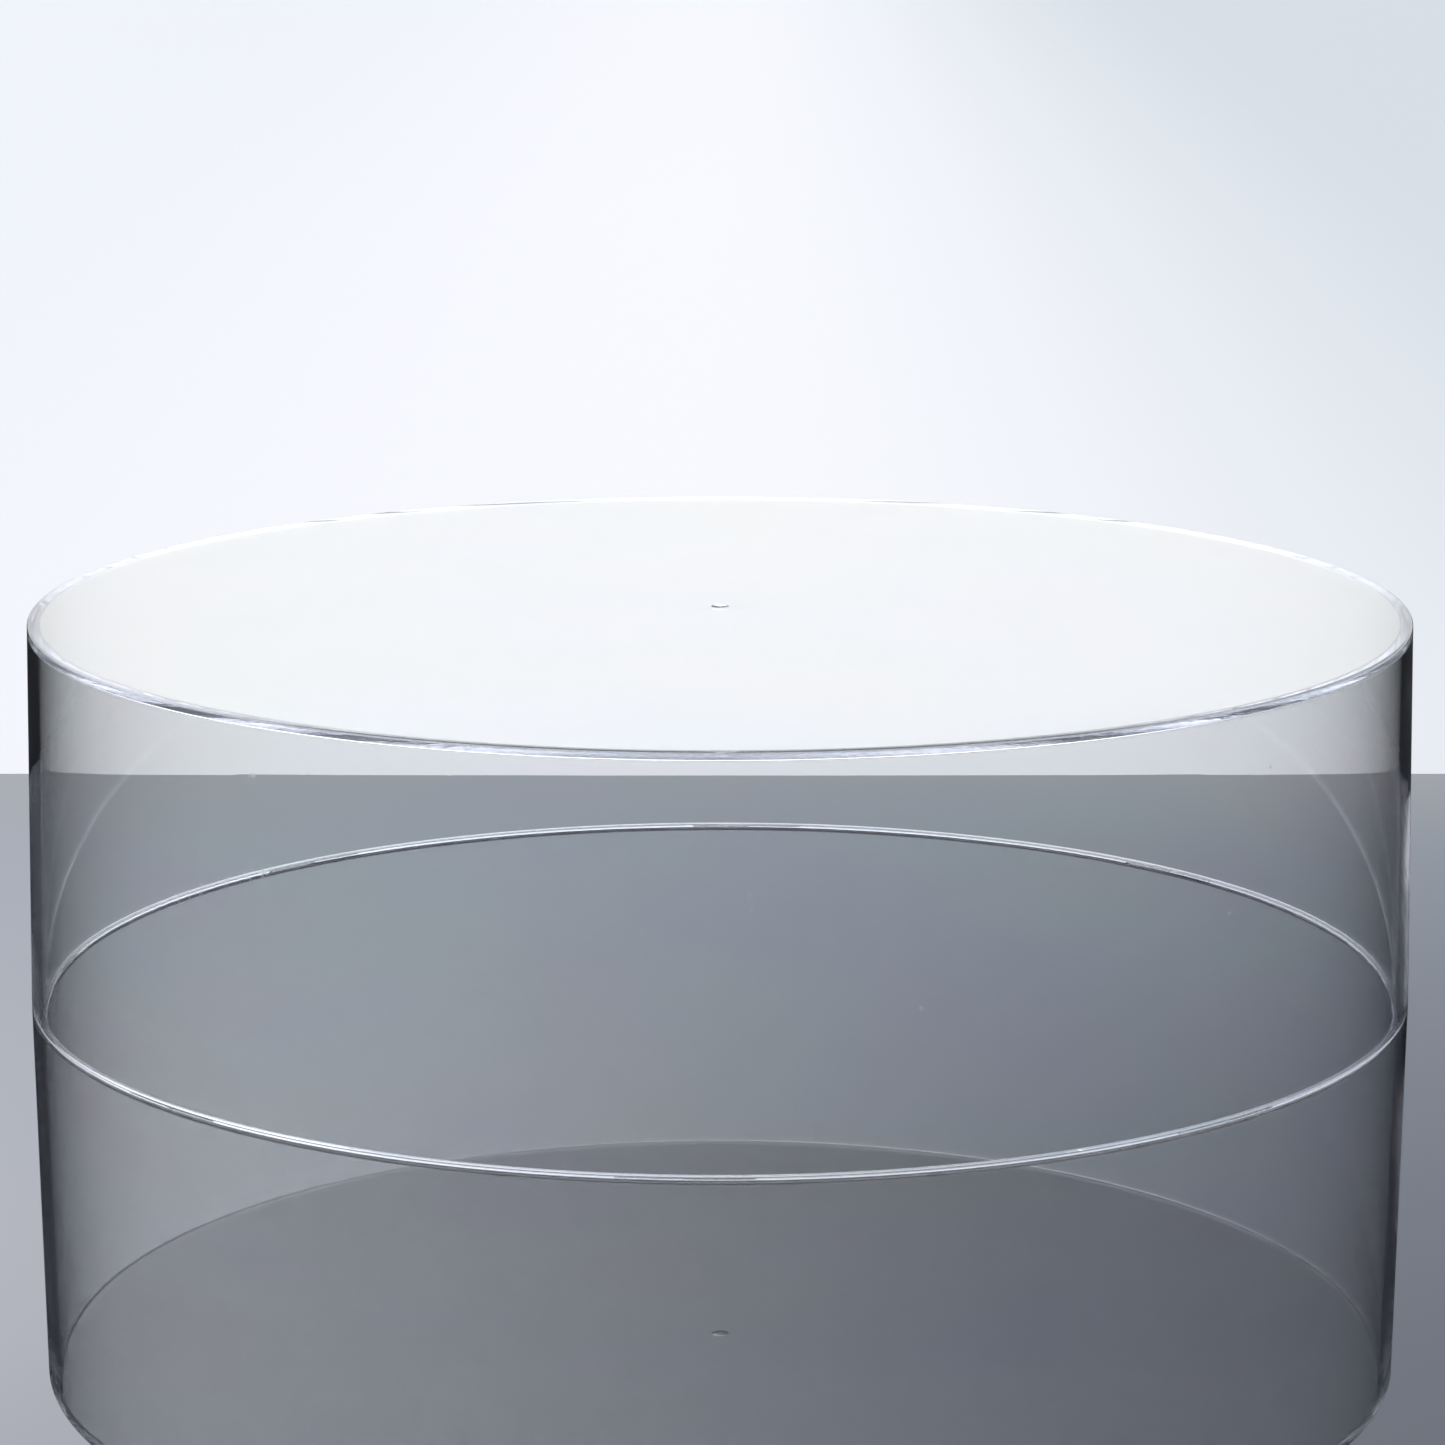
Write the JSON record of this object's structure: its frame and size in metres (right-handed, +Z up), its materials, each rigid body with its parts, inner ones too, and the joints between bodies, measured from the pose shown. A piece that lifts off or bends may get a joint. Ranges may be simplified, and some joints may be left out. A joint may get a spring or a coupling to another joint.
{
  "type": "turntable display stand",
  "caption": "Clear round display stand: a hollow moulded drum that turns by hand on a thin ring hidden in its foot and lifts off it.",
  "frame": {"origin": "centre of the footprint, on the surface that the stand rests on", "axes": "+Z up, along the axis that the drum turns about; the drum is round, so X and Y have no front, and one grip pad lies on +X"},
  "size_m": [0.2017, 0.2018, 0.056],
  "materials": {
    "clear_styrene": "polished, colourless and transparent",
    "clear_ring_plastic": "smooth, colourless and transparent",
    "slip_film": "fine matt, milky clear",
    "clear_silicone": "soft satin, milky clear"
  },
  "bodies": {
    "base": {"base_ring": "clear_ring_plastic", "grip_pads": "clear_silicone"},
    "slip": {"slip_ring": "slip_film"},
    "drum": {"clear_drum": "clear_styrene"}
  },
  "joints": [
    {"name": "drum_spin", "type": "hinge", "parent": "base", "child": "slip", "pos_m": [0, 0, 0.00045], "axis": [0, 0, 1], "continuous": true},
    {"name": "drum_lift", "type": "slide", "parent": "slip", "child": "drum", "axis": [0, 0, 1], "range_m": [0, 0.06]}
  ]
}
